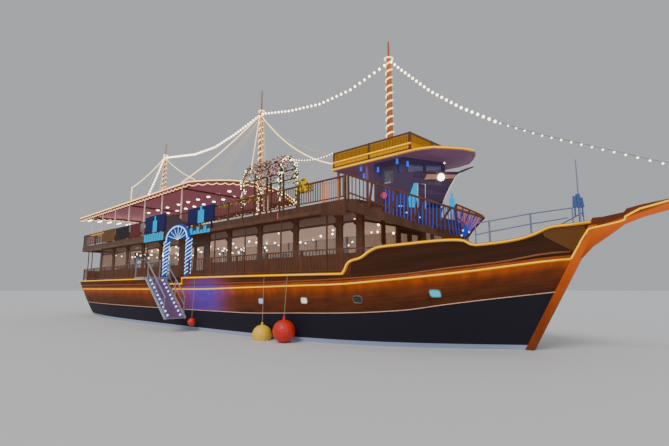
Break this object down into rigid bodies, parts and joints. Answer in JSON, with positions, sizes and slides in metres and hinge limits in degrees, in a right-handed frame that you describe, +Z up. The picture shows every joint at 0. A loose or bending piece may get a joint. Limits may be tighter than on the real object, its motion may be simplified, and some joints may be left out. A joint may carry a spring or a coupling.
{
  "type": "motorised dhow used as a dinner-cruise boat",
  "caption": "Large timber dhow afloat, with a glazed saloon, an upper deck under a canopy, a prow-shaped wheelhouse, short masts and a long beak.",
  "frame": {"origin": "on the centreline at the waterline, 14 m aft of where the stem meets the water", "axes": "+X forward, +Y to port, +Z up"},
  "size_m": [39.6, 10.2914, 16],
  "materials": {
    "hull_planks": "varnished planks",
    "stem_timber": "varnished",
    "dark_timber": "stained",
    "house_panels": "varnished panels",
    "rail_timber": "varnished",
    "deck_planks": "worn planks",
    "mast_timber": "varnished",
    "canopy_paint": "satin",
    "roof_paint": "satin",
    "white_paint": "satin",
    "gangway_metal": "satin",
    "stay_wire": "galvanised",
    "bronze": "worn",
    "screen_board": "matte",
    "fender_red": "satin",
    "fender_yellow": "satin"
  },
  "bodies": {
    "boat": {"hull": "hull_planks", "stem_and_keel": "stem_timber", "beak": "stem_timber", "bulwark_port": "hull_planks", "bulwark_starboard": "hull_planks", "transom_board": "stem_timber", "saloon_side_starboard_aft": "house_panels", "saloon_side_starboard_fore": "house_panels", "saloon_side_port": "house_panels", "saloon_front": "house_panels", "saloon_back": "house_panels", "entrance_frame": "house_panels", "buffet": "dark_timber", "bench_port": "house_panels", "bench_starboard": "house_panels", "entrance_arch": "white_paint", "boarding_platform": "gangway_metal", "side_rail_starboard_fore": "rail_timber", "side_rail_starboard_aft": "rail_timber", "side_rail_port": "rail_timber", "upper_deck": "deck_planks", "deck_posts": "house_panels", "apron": "deck_planks", "apron_rail": "rail_timber", "upper_rail_starboard": "rail_timber", "upper_rail_port": "rail_timber", "upper_rail_stern": "rail_timber", "canopy": "canopy_paint", "canopy_frame": "white_paint", "wheelhouse": "roof_paint", "wheelhouse_back": "house_panels", "bridge_roof": "roof_paint", "parapet": "rail_timber", "fore_mast": "mast_timber", "main_mast": "mast_timber", "aft_mast": "mast_timber", "fore_stay": "stay_wire", "mid_stay": "stay_wire", "aft_stay": "stay_wire", "main_ladder": "stay_wire", "aft_ladder": "stay_wire", "pergola": "dark_timber", "screen_aft": "screen_board", "screen_fore": "screen_board", "bow_rail_starboard": "white_paint", "bow_rail_port": "white_paint", "jackstaff": "white_paint", "fender_red": "fender_red", "fender_yellow": "fender_yellow", "fender_small": "fender_red"},
    "propeller": {"propeller": "bronze"},
    "rudder": {"rudder": "dark_timber"},
    "front_door_port": {"front_door_port": "dark_timber"},
    "front_door_starboard": {"front_door_starboard": "dark_timber"},
    "back_door": {"back_door": "dark_timber"},
    "entrance_door_aft": {"entrance_door_aft": "dark_timber"},
    "entrance_door_fore": {"entrance_door_fore": "dark_timber"},
    "wheelhouse_door_starboard": {"wheelhouse_door_starboard": "white_paint"},
    "wheelhouse_door_port": {"wheelhouse_door_port": "white_paint"},
    "gangway": {"gangway": "gangway_metal"}
  },
  "joints": [
    {"name": "propeller_spin", "type": "hinge", "parent": "boat", "child": "propeller", "pos_m": [-16.35, 0, -1.37], "axis": [1, 0, 0], "continuous": true},
    {"name": "rudder_turn", "type": "hinge", "parent": "boat", "child": "rudder", "pos_m": [-17.25, 0, -1.3], "axis": [0, 0, 1], "range_deg": [-35, 35]},
    {"name": "front_door_port_swing", "type": "hinge", "parent": "boat", "child": "front_door_port", "pos_m": [9.205, 0.748, 3.45], "axis": [0, 0, 1], "range_deg": [-95, 0]},
    {"name": "front_door_starboard_swing", "type": "hinge", "parent": "boat", "child": "front_door_starboard", "pos_m": [9.205, -0.748, 3.45], "axis": [0, 0, 1], "range_deg": [0, 95]},
    {"name": "back_door_swing", "type": "hinge", "parent": "boat", "child": "back_door", "pos_m": [-16.96, 0.398, 3.45], "axis": [0, 0, 1], "range_deg": [0, 95]},
    {"name": "entrance_door_aft_swing", "type": "hinge", "parent": "boat", "child": "entrance_door_aft", "pos_m": [-3.728, -3.08, 3.45], "axis": [0, 0, 1], "range_deg": [0, 95]},
    {"name": "entrance_door_fore_swing", "type": "hinge", "parent": "boat", "child": "entrance_door_fore", "pos_m": [-1.772, -3.08, 3.45], "axis": [0, 0, 1], "range_deg": [-95, 0]},
    {"name": "wheelhouse_door_starboard_swing", "type": "hinge", "parent": "boat", "child": "wheelhouse_door_starboard", "pos_m": [9.448, -1.26, 6.1], "axis": [0, 0, 1], "range_deg": [0, 100]},
    {"name": "wheelhouse_door_port_swing", "type": "hinge", "parent": "boat", "child": "wheelhouse_door_port", "pos_m": [9.448, 1.26, 6.1], "axis": [0, 0, 1], "range_deg": [-100, 0]},
    {"name": "gangway_lift", "type": "hinge", "parent": "boat", "child": "gangway", "pos_m": [-2.64, -5.3, 2.535], "axis": [0, 1, 0], "range_deg": [-39, 8]}
  ]
}
